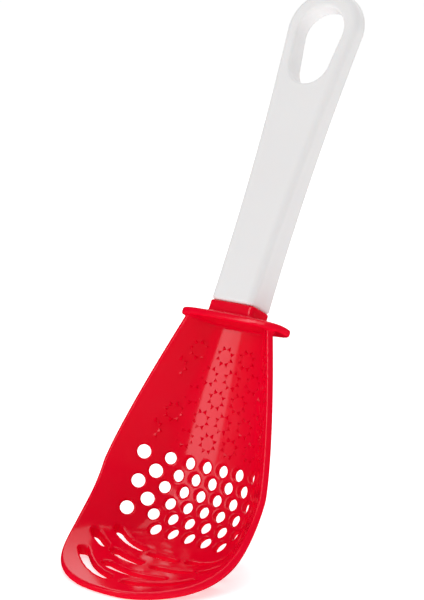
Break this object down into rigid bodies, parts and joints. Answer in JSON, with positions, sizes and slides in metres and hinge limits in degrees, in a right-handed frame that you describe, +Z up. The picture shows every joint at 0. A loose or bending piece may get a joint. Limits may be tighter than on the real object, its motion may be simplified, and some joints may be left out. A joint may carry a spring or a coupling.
{
  "type": "strainer and masher cooking spoon",
  "caption": "Deep cooking spoon with strainer holes, grater teeth, a slotted masher foot, an oval pot-rim flange and a flat handle with a hanging hole",
  "frame": {"origin": "on the plane of the masher foot's underside, on the middle plane, 31.5 mm behind the front lip", "axes": "+X to the spoon's left-to-right width, +Y back, away from the scoop's opening, +Z up from the foot; the handle leans 28 degrees back from +Z"},
  "size_m": [0.0824, 0.1593, 0.2223],
  "materials": {
    "red_plastic": "glossy red moulded plastic",
    "white_plastic": "satin white moulded plastic"
  },
  "bodies": {
    "root": {"scoop_wall": "red_plastic", "masher_foot": "red_plastic", "hanging_flange": "red_plastic", "neck_tang": "red_plastic", "handle": "white_plastic"}
  },
  "joints": []
}
